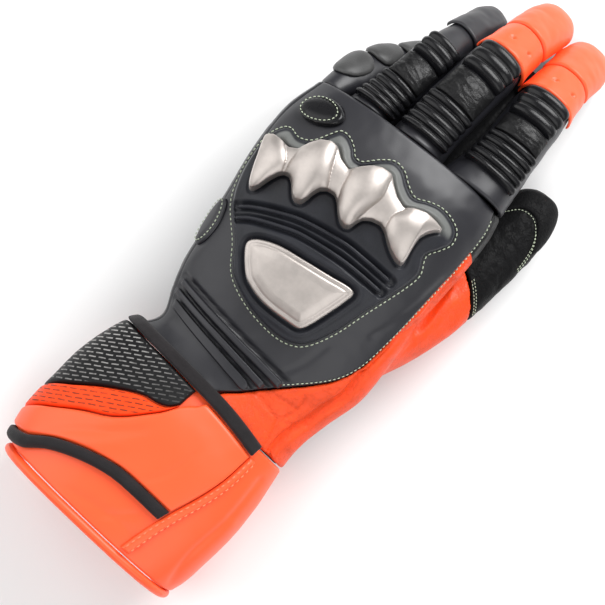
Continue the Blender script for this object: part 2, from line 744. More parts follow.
def dashed_leather(name, colour, thread, roughness, turned, fade):
    """Leather printed with rows of short dashes.

    turned is the rows' direction from +X. fade is (angle, low, high): the dashes fade in from low to high along
    the angle.
    """
    s = Shader(name)
    place = s.millimetres()
    pebbles = s.cells(place, 0.9, 0.7)
    creases = s.noise(place, 2.2, 6.0, 0.68)
    x, y, _ = s.turned(place, turned)
    wander = (s.noise(place, 9.0) - 0.5) * 0.8
    row = (y + wander) / ROW_PITCH
    share = (x / DASH_PITCH + row.whole() * 0.37).part()
    ends = (share - 0.36).size().ramp(0.37, 0.33)
    width = (row.part() - 0.5).size().ramp(0.17, 0.12)
    worn = s.noise(place, 3.1, 2.0).ramp(0.3, 0.55) * 0.55 + 0.45
    across, low, high = fade
    way, _, _ = s.turned(place, across)
    inside = s.edge().ramp(0.9, 1.3)
    mark = ends * width * worn * way.ramp(low, high) * inside
    rim = 1 - s.edge().ramp(0.2, 1.6)
    base = s.mix(s.noise(place, 17.0).ramp(0.3, 0.7), shade(colour, 0.9), shade(colour, 1.06))
    base = s.mix(rim * 0.35, base, shade(colour, 1.25))
    base = s.mix(mark, base, plain(thread))
    height = pebbles * 0.35 + creases * 0.6 + mark * 0.8
    return s.finish(base, roughness + (creases - 0.5) * 0.3, height, 0.16, Specular_IOR_Level=0.18)


# How far the front lip of the protector's base slants from the knuckles, in degrees.
LIP_SLANT = 7.0


def moulded(name, colour, roughness, grain=0.6, relief=0.05, shine=0.3, lip=None):
    """Moulded rubber with a fine even skin and slightly polished edges. lip is its front lip's colour."""
    s = Shader(name)
    place = s.millimetres()
    skin = s.cells(place, grain, 0.8)
    smears = s.noise(place, 12.0, 4.0)
    rim = 1 - s.edge().ramp(0.1, 1.2)
    base = s.mix(smears.ramp(0.35, 0.65), shade(colour, 0.85), shade(colour, 1.15))
    base = s.mix(rim * 0.5, base, shade(colour, 1.8))
    if lip is not None:
        turn = np.radians(KNUCKLE_SLANT - LIP_SLANT)
        origin = ARMOUR_ORIGIN + SHIFT[:2]
        x, y, _ = s.split(place)
        ahead = (y - origin[1]) * np.cos(turn) - (x - origin[0]) * np.sin(turn)
        base = s.mix(ahead.ramp(8.0, 12.0) * s.edge().ramp(1.0, 2.2), base, plain(lip))
    rough = roughness + (smears - 0.5) * 0.2 - rim * 0.08
    return s.finish(base, rough, skin + smears * 0.5, relief, Specular_IOR_Level=shine)


def brushed_metal(name, colour, roughness=0.46):
    """Satin metal with a faint brushing, small scuffs and a brighter polished rim."""
    s = Shader(name)
    place = s.millimetres()
    stretched = s.node("ShaderNodeMapping", None, {"Vector": place, "Scale": (0.35, 4.0, 2.0)})
    brushing = s.noise(stretched, 1.0, 3.0)
    smears = s.noise(place, 9.0, 4.0, 0.6)
    rim = 1 - s.edge().ramp(0.15, 1.1)
    base = s.mix(smears.ramp(0.3, 0.7), shade(colour, 0.88), shade(colour, 1.05))
    base = s.mix(rim * 0.7, base, shade(colour, 1.35))
    rough = roughness + (brushing - 0.5) * 0.12 + (smears - 0.5) * 0.12 - rim * 0.1
    return s.finish(base, rough, brushing * 0.4 + smears * 0.2, 0.02, Metallic=0.92)


def binding_tape(name, colour, roughness=0.85):
    """Matt woven binding: fine ribs along the tape with a soft nap."""
    s = Shader(name)
    place = s.millimetres()
    x, y = s.laid_out()
    weave = ((x / 0.55).part() - 0.5).size() + ((y / 0.55).part() - 0.5).size()
    nap = s.noise(place, 0.7, 4.0, 0.7)
    smears = s.noise(place, 11.0, 3.0)
    base = s.mix(smears.ramp(0.3, 0.7), shade(colour, 0.8), shade(colour, 1.25))
    base = s.mix(nap.ramp(0.45, 0.75) * 0.4, base, shade(colour, 1.8))
    soft = {"Sheen_Weight": 0.08, "Sheen_Roughness": 0.5, "Specular_IOR_Level": 0.3}
    return s.finish(base, roughness, weave * 0.6 + nap * 0.6, 0.12, **soft)


def thread(name, colour):
    """Twisted sewing thread."""
    s = Shader(name)
    place = s.millimetres()
    twist = s.noise(place, 0.35, 2.0)
    base = s.mix(twist.ramp(0.35, 0.65), shade(colour, 0.72), shade(colour, 1.1))
    return s.finish(base, 0.7, twist, 0.05)


# Properties
def colour(name, description, red, green, blue):
    return bpy.props.FloatVectorProperty(
        name=name, description=description, default=(red, green, blue), subtype="COLOR", size=3, min=0, max=1
    )


def length(name, description, millimetres):
    return bpy.props.FloatProperty(
        name=name, description=description, default=millimetres / 1000, min=0, unit="LENGTH", precision=5
    )


class GauntletColours(bpy.types.PropertyGroup):
    orange: colour("Orange leather", "The cuff, flap, thumb side and fingertip bands", 0.86, 0.07, 0.009)
    deep_orange: colour("Deep orange leather", "The dashed strip and the shadowed edges", 0.84, 0.062, 0.008)
    black: colour("Black leather", "The back of the hand and the fingers", 0.007, 0.007, 0.0075)
    moulding: colour("Moulded rubber", "The protector's base", 0.018, 0.019, 0.024)
    binding: colour("Binding", "The flap's edge and strap", 0.012, 0.01, 0.011)
    metal: colour("Metal", "The knuckle guard and the plate", 0.52, 0.475, 0.445)
    pale_thread: colour("Pale thread", "The stitches round the armour", 0.5, 0.56, 0.42)
    warm_thread: colour("Warm thread", "The stitches on the orange leather", 0.88, 0.26, 0.12)
    print_grey: colour("Printed dashes", "The rows of dashes on the black leather", 0.36, 0.35, 0.34)
    floor: colour("Floor", "The studio floor", 0.88, 0.88, 0.88)


class GauntletSizes(bpy.types.PropertyGroup):
    rib_height: length("Rib height", "How far the flex ribs stand off the leather", 2.6)
    guard_rise: length("Guard rise", "How far the knuckle guard's domes stand over its rim", 9.0)
    stitch: length("Stitch length", "The length of one stitch", 1.5)
    stitch_gap: length("Stitch gap", "The space between two stitches", 0.9)


def colours():
    return bpy.context.scene.gauntlet_colours


def millimetres(name):
    return getattr(bpy.context.scene.gauntlet_sizes, name) * 1000


def material(name):
    """The glove's materials, each made once."""
    found = bpy.data.materials.get(name)
    if found:
        return found
    c = colours()
    orange = {"worn": 1.12, "deep": 0.72, "shine": 0.35}
    dark_orange = (0.22, 0.03, 0.012)
    made = {
        "orange_leather": lambda: leather(name, c.orange, 0.44, 0.9, 0.2, **orange),
        "thumb_side": lambda: leather(name, c.orange, 0.44, 0.9, 0.2, beyond=c.black, **orange),
        "dashed_orange": lambda: dashed_leather(name, c.deep_orange, dark_orange, 0.48, 35, (-20, -60, -58)),
        "black_leather": lambda: leather(name, c.black, 0.4, 0.8, 0.22, worn=2.6, deep=0.6, shine=0.12),
        "dashed_black": lambda: dashed_leather(name, c.black, c.print_grey, 0.5, 35, (-30, 62, 0)),
        "matt_black": lambda: leather(name, c.black, 0.46, 0.9, 0.3, worn=1.6, deep=0.6, shine=0.07),
        "flex_rib": lambda: moulded(name, (0.005, 0.005, 0.006), 0.26, 0.5, 0.03, 0.3),
        "crinkled_pad": lambda: leather(name, (0.006, 0.006, 0.0065), 0.34, 0.6, 0.12, worn=1.5, shine=0.25),
        "moulded_base": lambda: moulded(name, c.moulding, 0.42, shine=0.28, lip=(0.13, 0.135, 0.13)),
        "slider": lambda: moulded(name, (0.05, 0.05, 0.05), 0.4, shine=0.3),
        "binding": lambda: binding_tape(name, c.binding),
        "metal": lambda: brushed_metal(name, c.metal),
        "pale_thread": lambda: thread(name, c.pale_thread),
        "warm_thread": lambda: thread(name, c.warm_thread),
    }
    return made[name]()


# Placing on the glove
def on_body(angle, v, lift):
    return body.point(angle, v, lift)


# The flap's limits round the cuff, in degrees, and where its dashed and black leather end.
FLAP_LEFT = -125
FLAP_RIGHT = 30
DASHES_RIGHT = -1.5
# The flap's edge, the seam of its dashed strip and the seam of its black panel, by angle.
FLAP_EDGES = [
    (-125, 0.036, 0.07, 0.11),
    (-90, 0.035, 0.08, 0.136),
    (-51, 0.046, 0.127, 0.186),
    (-30, 0.083, 0.17, 0.232),
    (-15, 0.108, 0.208, 0.268),
    (-4, 0.124, 0.272, 0.287),
    (2, 0.13, 0.335, 0.335),
    (30, 0.131, 0.335, 0.335),
]
FLAP_SIDE = [(0.0, 17), (0.137, 23.3), (0.256, 33.4), (0.33, 38), (0.39, 41)]
# The wrist strap's two edges, by angle.
STRAP_EDGES = [
    (-125, 0.356, 0.384),
    (-90, 0.358, 0.384),
    (-20, 0.353, 0.38),
    (5, 0.348, 0.376),
    (30, 0.333, 0.361),
]
flap_side = curve(FLAP_SIDE)
gap_share = SEAM_GAP / BODY_LENGTH
trim_share = TRIM_WIDTH / 2 / BODY_LENGTH


def on_cuff(u, v, lift):
    """Angles past the middle are stretched to end at the slanted thumb-side edge of the flap."""
    u, v = np.broadcast_arrays(u, v)
    return body.point(np.where(u > 0, u * flap_side(v / BODY_LENGTH) / FLAP_RIGHT, u), v, lift)


def edge_of(table, column):
    """One edge of a table, as a function of the angle."""
    return lambda u: smooth_rows(table, u)[..., column]


def strap_foot(u):
    return smooth_rows(STRAP_EDGES, u)[..., 1] - gap_share


def flap_grid(first, last, low, high, step):
    """A grid over the flap between two edges that depend on the angle."""
    across = first + (last - first) * stops((last - first) * 0.95, step)
    reach = (high(across) - low(across)).mean() * BODY_LENGTH
    share = stops(reach, step)
    u = across[:, None]
    v = (low(u) + (high(u) - low(u)) * share[None, :]) * BODY_LENGTH
    return np.broadcast_to(u, v.shape), v


BACK_EDGE = [
    (CUFF_END, 1),
    (0.383, 3),
    (0.41, 8),
    (0.44, 15),
    (0.48, 27),
    (0.55, 46),
    (0.62, 58),
    (0.7, 65),
    (0.8, 69),
    (0.92, 70),
    (1.0, 66),
]
OUTER_EDGE = -72
THUMB_EDGE = 112
LITTLE_EDGE = 242
SEAM_ANGLE = 0.3
back_edge = curve(BACK_EDGE)

ARMOUR_ORIGIN = np.array([-0.164 * HAND[0], HEM_Y + 0.809 * BODY_LENGTH])


def to_plan(points):
    """Points of the armour's own frame, along and across the knuckles, on the plan."""
    turn = np.radians(KNUCKLE_SLANT)
    u, v = np.asarray(points, float)[..., 0], np.asarray(points, float)[..., 1]
    x, y = u * np.cos(turn) - v * np.sin(turn), u * np.sin(turn) + v * np.cos(turn)
    return np.stack([x, y], -1) + ARMOUR_ORIGIN


def on_armour(u, v, lift):
    plan = to_plan(np.stack(np.broadcast_arrays(u, v), -1))
    return on_back(plan[..., 0], plan[..., 1], lift)


def fold_lines(points, folds):
    """Raised or sunk soft folds: each is (height, width, plan line)."""
    total = np.zeros(points.shape[:-1])
    for height, width, line in folds:
        nearest = from_segments(points[..., :2], through(line, 3.0), False)
        total += height * np.exp(-((nearest / width) ** 2))
    return total


# The camera's angles in degrees, its lens, the point it looks at and its way from there in metres
CAMERA_AZIMUTH = 45.0
CAMERA_ELEVATION = 84.0
CAMERA_LENS = 100.0
CAMERA_TARGET = (0.0, 0.0, 45.0)
CAMERA_DISTANCE = 0.7815
# Lights: name, place and size in metres, and power in watts. All face LIGHT_AIM
LIGHTS = [
    ("key", (0.1, 1.0, 0.8), 0.8, 19.0),
    ("fill", (-0.85, -0.35, 0.85), 1.5, 11.0),
    ("low", (0.8, -0.5, 1.0), 1.2, 7.0),
]
LIGHT_AIM = (0, 0, 0.04)
WORLD_STRENGTH = 0.36


# Operators
class GAUNTLET_OT_stage(bpy.types.Operator):
    """Add the pale floor, the soft studio lights and the camera."""

    bl_idname = "gauntlet.stage"
    bl_label = "Stage"

    def execute(self, context):
        bpy.ops.object.select_all(action="DESELECT")
        bpy.ops.mesh.primitive_plane_add(size=6, location=(0, 0, 0))
        floor = context.object
        floor.name = "studio_floor"
        s = Shader("studio_floor")
        tone = s.noise(s.node("ShaderNodeTexCoord", output="Object"), 0.8)
        pale = plain(colours().floor)
        floor.data.materials.append(s.finish(s.mix(tone, shade(pale, 0.985), pale), 0.9))
        azimuth, elevation = np.radians(CAMERA_AZIMUTH), np.radians(CAMERA_ELEVATION)
        back = np.array(
            [np.sin(azimuth) * np.cos(elevation), -np.cos(azimuth) * np.cos(elevation), np.sin(elevation)]
        )
        right = np.array([np.cos(azimuth), np.sin(azimuth), 0.0])
        up = np.cross(back, right)
        eye = (np.array(CAMERA_TARGET) + SHIFT) / 1000 + back * CAMERA_DISTANCE
        camera = bpy.data.objects.new("camera", bpy.data.cameras.new("camera"))
        bpy.context.collection.objects.link(camera)
        turn = np.eye(4)
        turn[:3, 0], turn[:3, 1], turn[:3, 2], turn[:3, 3] = right, up, back, eye
        camera.matrix_world = Matrix(turn.tolist())
        camera.data.lens = CAMERA_LENS
        camera.data.sensor_width = 36
        camera.data.clip_start = 0.01
        context.scene.camera = camera
        for name, place, size, power in LIGHTS:
            light = bpy.data.objects.new(name, bpy.data.lights.new(name, "AREA"))
            bpy.context.collection.objects.link(light)
            light.data.size = size
            light.data.energy = power
            light.location = place
            aim = np.array(LIGHT_AIM) - place
            aim = aim / np.linalg.norm(aim)
            light.rotation_euler = (np.arccos(-aim[2]), 0, np.arctan2(-aim[0], aim[1]))
        world = bpy.data.worlds.new("studio")
        context.scene.world = world
        world.use_nodes = True
        world.node_tree.nodes["Background"].inputs["Color"].default_value = (1, 1, 1, 1)
        world.node_tree.nodes["Background"].inputs["Strength"].default_value = WORLD_STRENGTH
        context.scene.view_settings.view_transform = "Standard"
        return {"FINISHED"}


class GAUNTLET_OT_cuff(bpy.types.Operator):
    """Add the orange cuff, its rolled hem and the stitched seam on the thumb's side."""

    bl_idname = "gauntlet.cuff"
    bl_label = "Cuff"

    def execute(self, context):
        orange = material("orange_leather")
        around, first, last = 300, 2 * HEM_RADIUS + SEAM_GAP, CUFF_END * BODY_LENGTH
        angle = np.arange(around) * 360 / around
        v = first + (last - first) * stops(last - first, 1.1)
        skin = body.point(angle[None, :], v[:, None], 0)
        run = np.linalg.norm(np.roll(skin, -1, 1) - skin, axis=-1)
        across = np.cumsum(run, 1) - run
        folds = fold_lines(skin, CUFF_FOLDS) * (np.cos(np.radians(angle))[None, :] > -0.2)
        swell = noise(skin, 26, 3) * 0.45 + noise(skin, 8, 4) * 0.12
        edge = np.minimum(v - first, last - v)[:, None] + 0 * across
        rolled = 1.2 * (rolled_edge(edge, 1.3) - 1)
        relief = (folds + swell) * np.minimum(edge / 6, 1) * 0.8
        outer = body.point(angle[None, :], v[:, None], rolled + relief - 0.1)
        inner = body.point(angle[None, :], v[:, None], -CUFF_WALL - rolled + 0.15 * noise(skin, 12, 5))
        uv = np.stack([across, v[:, None] + 0 * across], -1)
        rings = np.concatenate([outer, inner[::-1]])
        uv = np.concatenate([uv, uv[::-1]])
        edge = np.concatenate([edge, edge + FAR_FROM_EDGE])
        shape = tube(rings, hollow=True, uv=uv, edge=edge)
        make_piece("cuff_leather", shape, orange, ["cuff_shell"])
        sides = 14
        turn = 2 * np.pi * (np.arange(sides) + 0.5) / sides
        skin = body.point(angle, HEM_RADIUS, -CUFF_WALL / 2)
        swell = 0.12 * noise(skin, 5, 8)[None, :]
        grow = -CUFF_WALL / 2 + (HEM_RADIUS - 0.15) * np.cos(turn)[:, None] + swell
        rings = body.point(angle[None, :], HEM_RADIUS, grow)
        rings[..., 1] += (HEM_RADIUS - 0.1) * np.sin(turn)[:, None] * (1 - 0.12 * np.cos(turn)[:, None])
        rings[..., 2] = np.maximum(rings[..., 2], -SHIFT[2] + 0.12)
        make_piece("cuff_hem_band", tube(rings, hollow=True), orange, ["cuff_hem"])
        u = stops(5.5, 0.6)[:, None] * 5.5 + 1.2
        v = (0.03 + 0.3 * stops(69, 1.0)[None, :]) * BODY_LENGTH

        def beside_flap(u, v, lift):
            return body.point(flap_side(v / BODY_LENGTH) + u, v, lift)

        def puckered(under, across, along, edge):
            side = np.minimum(across, across.max() - across)
            return 0.22 * np.cos(along * 2 * np.pi / 3.1) * np.exp(-((side / 1.4) ** 2))

        shape = lay(beside_flap, u, v, LAY_GAP, 1.7, 1.4, puckered)
        make_piece("cuff_seam_band", shape, orange, ["cuff_seam_strip"])
        lines = []
        for side in (2.1, 5.7):
            plan = np.column_stack([np.full(70, side), np.linspace(0.035, 0.325, 70) * BODY_LENGTH])
            lines.append(stitches(*on_surface(beside_flap, plan, LAY_GAP + 1.72), 1.7, 1.3, 0.3))
        make_piece("cuff_stitches", Shape.together(lines), material("warm_thread"))
        return {"FINISHED"}


CUFF_FOLDS = [
    (-0.9, 1.6, [(50, -140), (46, -118), (47, -95), (45, -72)]),
    (0.7, 3.0, [(53, -138), (51, -118), (50, -96)]),
    (-0.6, 2.2, [(-25, -141), (-5, -133), (14, -129), (26, -130)]),
    (-0.5, 1.6, [(0, -141), (10, -128), (16, -122)]),
]
FLAP_FOLDS = [
    (-0.5, 2.0, [(-38, -126), (-30, -115), (-18, -104), (-8, -93)]),
    (0.4, 3.0, [(-32, -129), (-22, -116), (-10, -104)]),
    (-0.35, 1.4, [(8, -108), (14, -96), (15, -84)]),
]


class GAUNTLET_OT_flap(bpy.types.Operator):
    """Add the closure flap: plain, dashed and black leather, its binding and the wrist strap."""

    bl_idname = "gauntlet.flap"
    bl_label = "Closure flap"

    def execute(self, context):
        edge_line, seam_line, black_line = (edge_of(FLAP_EDGES, column) for column in (1, 2, 3))

        def soft(seed):
            def relief(under, across, along, edge):
                swell = noise(under, 22, seed) * 0.35 + noise(under, 7, seed + 1) * 0.12
                return swell + fold_lines(under, FLAP_FOLDS)

            return relief

        def panel_low(u):
            return edge_line(u) + trim_share + gap_share

        def panel_high(u):
            return np.where(u < 2, np.minimum(seam_line(u), strap_foot(u)), strap_foot(u)) - gap_share

        def strip_low(u):
            return seam_line(u) + gap_share

        def black_seam(u):
            return np.minimum(black_line(u), strap_foot(u) - 2 * gap_share)

        def strip_high(u):
            return black_seam(u) - gap_share

        def black_low(u):
            return black_seam(u) + gap_share

        orange, black = "orange_leather", "black_leather"
        sheets = [
            ("plain", FLAP_RIGHT, panel_low, panel_high, "orange_leather", orange, "flap_panel"),
            ("dashed", DASHES_RIGHT, strip_low, strip_high, "dashed_orange", orange, "flap_dashed_strip"),
            ("black", DASHES_RIGHT, black_low, strap_foot, "dashed_black", black, "flap_black_panel"),
        ]
        for seed, (name, last, low, high, finish, slot, node) in enumerate(sheets):
            u, v = flap_grid(FLAP_LEFT, last, low, high, 1.0)
            shape = lay(on_cuff, u, v, FLAP_GAP, FLAP_THICKNESS, 1.5, soft(seed * 3 + 11))
            make_piece(f"flap_{name}_leather", shape, material(finish), [node])

        def ridged(under, across, along, edge):
            return 0.15 * noise(under, 4, 31) + 0.25 * noise(under, 15, 32)

        def binding_low(u):
            return edge_line(u) - trim_share

        def binding_high(u):
            return edge_line(u) + trim_share

        strap = [edge_of(STRAP_EDGES, column) for column in (1, 2)]
        bands = [
            ("flap_binding", binding_low, binding_high, FLAP_GAP, 2.2, "flap_edge_binding"),
            ("wrist_strap", *strap, FLAP_GAP + SEAM_GAP, 1.6, "flap_strap"),
        ]
        for name, low, high, gap, crown, node in bands:
            u, v = flap_grid(FLAP_LEFT, FLAP_RIGHT, low, high, 0.9)
            shape = lay(on_cuff, u, v, gap, TRIM_THICKNESS, crown, ridged)
            make_piece(name, shape, material("binding"), [node])
        return {"FINISHED"}


HAND_FOLDS = [
    (-3.2, 1.6, [
        (42.5, 55), (45, 41), (46.2, 31), (44.5, 24), (42.6, 12), (42.2, 1), (43, -5), (44.5, -16.8),
        (42, -27.6), (40.5, -39), (38.2, -47.5), (38.5, -58.6), (40, -66.7),
    ]),
    (1.4, 3.4, [(48, 50), (50, 36), (49, 20), (47.5, 5), (48.5, -10), (48, -24), (45, -38), (43, -50)]),
    (-0.5, 1.4, [(26, -34), (33, -24), (37, -14)]),
    (-0.45, 1.2, [(35, -26), (39, -16), (40, -9)]),
    (0.4, 2.2, [(30, -33), (36, -22), (39.5, -6)]),
    (-0.5, 1.2, [(40, 2), (43, 16), (43.5, 30)]),
    (-0.7, 0.8, [(14.5, -45.1), (22.3, -45.8), (30, -46.4), (33.5, -41.6), (33.9, -33.5), (31.3, -30)]),
    (-0.6, 0.7, [(22.2, -40), (33.5, -37.1)]),
    (-0.7, 0.8, [(31, -47.4), (33.5, -52.5), (34.8, -60.2), (34.2, -66)]),
    (-0.5, 0.8, [(31, -47.4), (36, -44), (41.6, -38.7)]),
    (-0.5, 1.5, [(46, 58), (48, 66), (45, 71)]),
]
BACK_FOLDS = [
    (-0.4, 1.6, [(14, -36), (20, -22), (22, -8)]),
    (0.35, 3.0, [(-50, -30), (-46, -10), (-47, 12)]),
    (-0.4, 1.6, [(33, 10), (37, 32), (38, 52)]),
]


# Grooves beside the wrist ribs and the breather holes under them, as (angle, along) rows.
WRIST_GROOVES = [
    [(-56, 0.518), (-21, 0.5), (-4.5, 0.491), (6, 0.485), (20, 0.48)],
    [(-58, 0.491), (-26, 0.4745), (-6, 0.4655), (6, 0.459), (18, 0.455)],
    [(-58, 0.466), (-23, 0.45), (-5, 0.4405), (6, 0.434), (10, 0.432)],
]
BREATHERS = [(-28.5, 0.412), (-11, 0.401), (0, 0.398)]


class GAUNTLET_OT_hand(bpy.types.Operator):
    """Add the hand's sewn leather panels."""

    bl_idname = "gauntlet.hand"
    bl_label = "Hand panels"

    def execute(self, context):
        first, last = CUFF_END * BODY_LENGTH + SEAM_GAP, BODY_LENGTH
        v = first + (last - first) * stops(last - first, 1.1)[None, :]
        grooves = []
        for rows in WRIST_GROOVES:
            angle, along = np.array(rows).T
            grooves.append((-1.7, 1.0, on_body(angle, along * BODY_LENGTH, 0.0)[:, :2]))
        angle, along = np.array(BREATHERS).T
        holes = on_body(angle, along * BODY_LENGTH, 0.0)
        panels = [
            ("back", lambda v: OUTER_EDGE, back_edge, BACK_FOLDS + grooves, 170),
            ("palm", lambda v: THUMB_EDGE, lambda v: LITTLE_EDGE, [], 130),
            ("outer_side", lambda v: LITTLE_EDGE, lambda v: OUTER_EDGE + 360, [], 60),
        ]
        black = material("black_leather")
        for seed, (name, left, right, folds, across) in enumerate(panels):
            low, high = left(v / BODY_LENGTH) + SEAM_ANGLE, right(v / BODY_LENGTH) - SEAM_ANGLE
            u = low + (high - low) * stops(across, 1.1)[:, None]

            def creased(under, across, along, edge, folds=folds, seed=seed):
                swell = noise(under, 24, 40 + seed) * 0.5 + noise(under, 6, 50 + seed) * 0.15
                relief = np.minimum(swell + (fold_lines(under, folds) if folds else 0), 0.5)
                for hole in holes:
                    relief = relief - 1.5 * np.exp(-(((under - hole) ** 2).sum(-1) / 0.8) ** 2)
                return relief

            shape = lay(on_body, u, v, -HAND_WALL, HAND_WALL, 1.5, creased)
            make_piece(f"{name}_leather", shape, black, [f"{name}_panel"])
        return {"FINISHED"}


# How the thumb's side blends into its sleeve: voxel size in metres, reach in millimetres and smoothing rounds
VOXEL_SIZE = 0.00095
BLEND_REACH = 7.0
BLEND_ROUNDS = 26


class GAUNTLET_OT_thumb(bpy.types.Operator):
    """Add the orange thumb side, blended into the thumb's sleeve, and the black end of the thumb."""

    bl_idname = "gauntlet.thumb"
    bl_label = "Thumb and its side"

    def execute(self, context):
        first, last = CUFF_END * BODY_LENGTH + SEAM_GAP, BODY_LENGTH
        v = first + (last - first) * stops(last - first, 1.2)[None, :]
        low = back_edge(v / BODY_LENGTH) + SEAM_ANGLE
        u = low + (THUMB_EDGE - SEAM_ANGLE - low) * stops(75, 1.2)[:, None]
        side = lay(on_body, u, v, -HAND_WALL, HAND_WALL, 1.4)
        thumb = digits["thumb"]
        angle = np.arange(72) * 5.0
        seam = thumb_seam(angle)
        share = np.linspace(0, 1, 50)[:, None]
        start = 0.04 * thumb.length
        v = start + (seam - start) * share
        outer = thumb.point(angle[None, :], v, 0.0)
        inner = thumb.point(angle[None, :], v, -DIGIT_WALL)
        sleeve = tube(np.concatenate([outer, inner[::-1]]), hollow=True)
        raw = Shape.together([side, sleeve])
        nodes = ["thumb_side_panel", "thumb"]
        piece = make_piece("thumb_side_leather", raw, material("thumb_side"), nodes)
        self.blend(piece, side.points, outer.reshape(-1, 3))
        self.cap(thumb)
        return {"FINISHED"}

    def blend(self, piece, side, sleeve):
        """Runs the side and the sleeve into one skin, softens where they meet and adds the folds."""
        remesh = piece.modifiers.new("one_skin", "REMESH")
        remesh.mode = "VOXEL"
        remesh.voxel_size = VOXEL_SIZE
        bpy.ops.object.select_all(action="DESELECT")
        bpy.context.view_layer.objects.active = piece
        piece.select_set(True)
        bpy.ops.object.modifier_apply(modifier=remesh.name)
        mesh = piece.data
        points = np.zeros(len(mesh.vertices) * 3)
        mesh.vertices.foreach_get("co", points)
        points = points.reshape(-1, 3) * 1000 - SHIFT
        edges = np.zeros(len(mesh.edges) * 2, int)
        mesh.edges.foreach_get("vertices", edges)
        edges = edges.reshape(-1, 2)
        near = [self.reach(points, skin) for skin in (side[::3], sleeve[::2])]
        both = np.exp(-((np.maximum(*near) / BLEND_REACH) ** 2))
        weight = np.clip(0.12 + both, 0, 0.8)[:, None]
        count = np.bincount(edges.reshape(-1), minlength=len(points))[:, None]
        for _ in range(BLEND_ROUNDS):
            total = np.zeros_like(points)
            for k in range(3):
                total[:, k] = np.bincount(edges[:, 0], points[edges[:, 1], k], len(points))
                total[:, k] += np.bincount(edges[:, 1], points[edges[:, 0], k], len(points))
            points = points + weight * (total / count - points) * 0.7
        mesh.vertices.foreach_set("co", ((points + SHIFT) / 1000).reshape(-1))
        mesh.update()
        out = np.zeros(len(points) * 3)
        mesh.vertices.foreach_get("normal", out)
        out = out.reshape(-1, 3)
        upper = smooth_step(-0.1, 0.35, out[:, 2])
        lift = fold_lines(points, HAND_FOLDS) + noise(points, 20, 61) * 0.6 + noise(points, 7, 62) * 0.2
        lift = np.minimum(lift, 0.9) * upper
        points = points + out * lift[:, None]
        mesh.vertices.foreach_set("co", ((points + SHIFT) / 1000).reshape(-1))
        mesh.update()
        mesh.polygons.foreach_set("use_smooth", np.ones(len(mesh.polygons), bool))
        if "edge" in mesh.attributes:
            mesh.attributes.remove(mesh.attributes["edge"])
        edge = mesh.attributes.new("edge", "FLOAT", "POINT")
        edge.data.foreach_set("value", np.full(len(points), FAR_FROM_EDGE))

    def reach(self, points, skin):
        """The way from each point to the nearest point of a skin."""
        tree = KDTree(len(skin))
        for k, p in enumerate(skin):
            tree.insert(p, k)
        tree.balance()
        return np.array([tree.find(p)[2] for p in points])

    def cap(self, thumb):
        angle = np.arange(96) * 3.75
        start = thumb_seam(angle) + SEAM_GAP
        share = np.concatenate([[0, 0.002, 0.006, 0.012], np.linspace(0.02, 1, 90)])[:, None]
        v = start + (thumb.length - start) * share
        skin = thumb.point(angle[None, :], v, 0.0)
        edge = v - start
        rolled = rolled_edge(edge, 1.3) - 1
        swell = noise(skin, 11, 71) * 0.35 + noise(skin, 4.5, 72) * 0.15 + (crinkle(skin, 9, 73) - 0.5) * 0.5
        outer = thumb.point(angle[None, :], v, rolled + swell * np.minimum(edge / 3, 1) * (1 - share**4))
        inner_v = np.minimum(v, thumb.length - DIGIT_WALL)[::-1]
        inner = thumb.point(angle[None, :], inner_v, -DIGIT_WALL)
        rings = np.concatenate([outer[::-1], inner[::-1]])
        edges = np.concatenate([edge[::-1], edge + FAR_FROM_EDGE])
        make_piece("thumb_end_leather", tube(rings, edge=edges), material("matt_black"))

        def crinkled(under, across, along, edge):
            return noise(under, 12, 76) * 0.3

        rows = np.array(THUMB_TIP) * [1, thumb.length]
        shape = disc(thumb.point, rows, (8, 0.92 * thumb.length), 0.2, 1.0, 2.0, crinkled, 0.8, (0.25, 1.0))
        make_piece("thumb_tip_leather", shape, material("matt_black"), ["thumb_cap"])
        runs = []
        for rows in THUMB_STITCHES:
            line = through(np.array(rows) * [0.25, thumb.length], 0.4) * [4, 1]
            runs.append(stitches(*on_surface(thumb.point, line, 0.3), millimetres("stitch") * 0.7, 0.6, 0.22))
        for offset in (1.2, 2.5):
            angle = np.linspace(8, 72, 40)
            line = np.column_stack([angle, thumb_seam(angle) + offset])
            runs.append(stitches(*on_surface(thumb.point, line, 0.3), millimetres("stitch") * 0.7, 0.6, 0.22))
        make_piece("thumb_stitches", Shape.together(runs), material("pale_thread"))


# The thumb's end patch and its rows of stitches, as (angle, along) rows.
THUMB_TIP = [
    (-50, 0.83), (-35, 0.85), (-20, 0.872), (1, 0.877), (21, 0.856), (43, 0.81), (58, 0.78), (72, 0.8),
    (80, 0.86), (78, 0.92), (60, 0.96), (30, 0.978), (0, 0.98), (-30, 0.968), (-52, 0.93), (-60, 0.87),
]
THUMB_STITCHES = [
    [(-55, 0.815), (-41, 0.831), (-20, 0.862), (1, 0.867), (21, 0.844), (43, 0.793), (53, 0.743), (58, 0.7)],
    [(30, 0.83), (48, 0.79), (58, 0.755), (66, 0.7)],
]


def thumb_seam(angle):
    """Where the orange sleeve ends along the thumb, round its section."""
    side = np.sin(np.radians(angle))
    return 0.53 * THUMB_LENGTH - 7.0 * side + 1.5 * np.cos(np.radians(angle))


